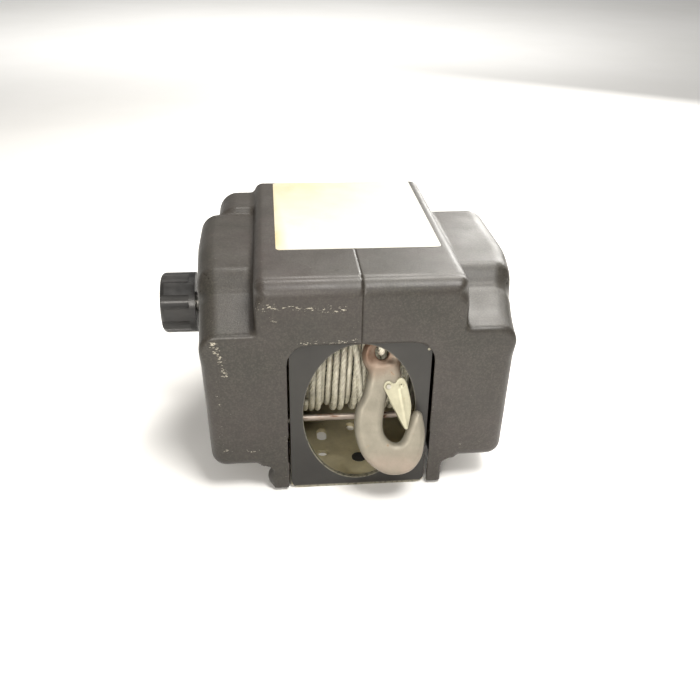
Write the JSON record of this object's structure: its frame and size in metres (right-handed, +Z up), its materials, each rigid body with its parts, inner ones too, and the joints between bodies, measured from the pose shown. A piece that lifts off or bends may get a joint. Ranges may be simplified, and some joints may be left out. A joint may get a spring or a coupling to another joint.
{
  "type": "electric cable winch",
  "caption": "Portable 12 V cable winch: steel frame, geared drum of wire rope with slip hook, under a two-part moulded plastic cover with a clutch knob.",
  "frame": {"origin": "centre of the four base bolt holes, on the base plate's underside", "axes": "+X to the right seen from the rope side, along the drum's axis; +Y from the rope side to the back; +Z up"},
  "size_m": [0.3408, 0.3065, 0.2103],
  "materials": {
    "moulded_cover": "black moulded plastic, fine spark-eroded grain, scuffed edges",
    "black_plate": "black stove enamel on steel",
    "yellow_zinc": "yellow-passivated zinc plate",
    "bright_zinc": "bright zinc plate",
    "drum_steel": "black-painted steel",
    "shaft_steel": "ground steel",
    "gear_steel": "greased cut steel",
    "bronze": "sintered bronze",
    "galvanised_rope": "galvanised wire strands with rust spots",
    "galvanised_fitting": "dull galvanised",
    "forged_grey": "grey-coated forged steel",
    "zinc_latch": "zinc-plated pressed sheet",
    "motor_paint": "black paint on steel tube",
    "cast_bell": "die-cast aluminium",
    "lamination": "stacked laminations and varnished copper",
    "copper": "turned copper",
    "carbon": "pressed carbon",
    "knob_plastic": "black moulded plastic",
    "rubber_parts": "black rubber",
    "socket_plastic": "black glossy plastic",
    "red_button": "red glossy plastic",
    "brass_contacts": "turned brass",
    "black_screws": "black-finished steel",
    "label_paper": "off-white label stock, yellowed"
  },
  "bodies": {
    "frame": {"cover_left": "moulded_cover", "cover_right": "moulded_cover", "front_plate": "black_plate", "base_plate": "yellow_zinc", "side_plate_left": "yellow_zinc", "side_plate_right": "yellow_zinc", "gear_plate": "yellow_zinc", "cover_posts": "yellow_zinc", "tie_rods": "bright_zinc", "tie_rod_nuts": "bright_zinc", "gear_plate_spacers": "bright_zinc", "gear_plate_screws": "bright_zinc", "motor_screws": "bright_zinc", "crank_cover_screw": "bright_zinc", "cap_hinge": "bright_zinc", "clutch_sleeve": "shaft_steel", "drum_bushes": "bronze", "gear_bushes": "bronze", "motor_bearings": "bronze", "rope_end": "galvanised_rope", "thimble": "galvanised_fitting", "ferrule": "galvanised_fitting", "motor_can": "motor_paint", "motor_bell_drive": "cast_bell", "motor_bell_brush": "cast_bell", "motor_magnets": "lamination", "motor_brushes": "carbon", "drain_plug": "rubber_parts", "relay_box": "socket_plastic", "power_socket": "socket_plastic", "remote_socket": "socket_plastic", "circuit_breaker": "socket_plastic", "socket_contacts": "brass_contacts", "relay_terminals": "brass_contacts", "cover_bolts": "black_screws", "label": "label_paper"},
    "drum": {"drum_core": "drum_steel", "drum_flanges": "drum_steel", "drum_shaft": "shaft_steel", "drum_gear": "gear_steel", "rope_winding": "galvanised_rope"},
    "second": {"second_shaft": "shaft_steel", "second_gear": "gear_steel", "second_pinion": "gear_steel"},
    "first": {"first_shaft": "shaft_steel", "first_gear": "gear_steel", "first_pinion": "gear_steel"},
    "rotor": {"motor_shaft": "shaft_steel", "motor_armature": "lamination", "motor_commutator": "copper", "motor_pinion": "gear_steel"},
    "clutch_knob": {"clutch_knob": "knob_plastic"},
    "clutch_rod": {"clutch_rod": "shaft_steel"},
    "crank_cover": {"crank_cover": "rubber_parts"},
    "hook": {"hook": "forged_grey", "latch_pin": "shaft_steel"},
    "latch": {"hook_latch": "zinc_latch", "latch_spring": "zinc_latch"},
    "breaker_button": {"breaker_button": "red_button"},
    "remote_cap": {"remote_cap": "rubber_parts"}
  },
  "joints": [
    {"name": "drum_spin", "type": "hinge", "parent": "frame", "child": "drum", "pos_m": [0, -0.028, 0.084], "axis": [1, 0, 0], "continuous": true},
    {"name": "second_spin", "type": "hinge", "parent": "frame", "child": "second", "pos_m": [-0.08, 0.01463, 0.12728], "axis": [1, 0, 0], "continuous": true},
    {"name": "first_spin", "type": "hinge", "parent": "frame", "child": "first", "pos_m": [-0.085, 0.05254, 0.09546], "axis": [1, 0, 0], "continuous": true},
    {"name": "motor_spin", "type": "hinge", "parent": "frame", "child": "rotor", "pos_m": [0, 0.078, 0.07], "axis": [1, 0, 0], "continuous": true},
    {"name": "clutch_turn", "type": "hinge", "parent": "frame", "child": "clutch_knob", "pos_m": [-0.159, 0.01463, 0.12728], "axis": [1, 0, 0], "range_deg": [0, 90]},
    {"name": "clutch_shift", "type": "slide", "parent": "frame", "child": "clutch_rod", "axis": [1, 0, 0], "range_m": [0, 0.006]},
    {"name": "crank_cover_swing", "type": "hinge", "parent": "frame", "child": "crank_cover", "pos_m": [-0.1467, 0.05254, 0.07096], "axis": [-1, 0, 0], "range_deg": [0, 110]},
    {"name": "hook_swing", "type": "hinge", "parent": "frame", "child": "hook", "pos_m": [0.0192, -0.1075, 0.1436], "axis": [1, 0, 0], "range_deg": [-13, 0]},
    {"name": "latch_open", "type": "hinge", "parent": "hook", "child": "latch", "pos_m": [0.02444, -0.12386, 0.10687], "axis": [0, 0.9135, -0.4067], "range_deg": [0, 24], "stiffness_Nm_per_rad": 0.03, "springref_deg": -34.38},
    {"name": "breaker_press", "type": "slide", "parent": "frame", "child": "breaker_button", "axis": [-1, 0, 0], "range_m": [0, 0.003], "stiffness_N_per_m": 600, "springref_m": -0.001},
    {"name": "cap_open", "type": "hinge", "parent": "frame", "child": "remote_cap", "pos_m": [0.156, 0.042, 0.087], "axis": [0, -1, 0], "range_deg": [0, 150]}
  ],
  "couplings": [
    {"joint": "second_spin", "follows": "drum_spin", "ratio": -3.5},
    {"joint": "first_spin", "follows": "drum_spin", "ratio": 15.75},
    {"joint": "motor_spin", "follows": "drum_spin", "ratio": -78.75},
    {"joint": "clutch_shift", "follows": "clutch_turn", "m_per_rad": 0.0038197}
  ]
}
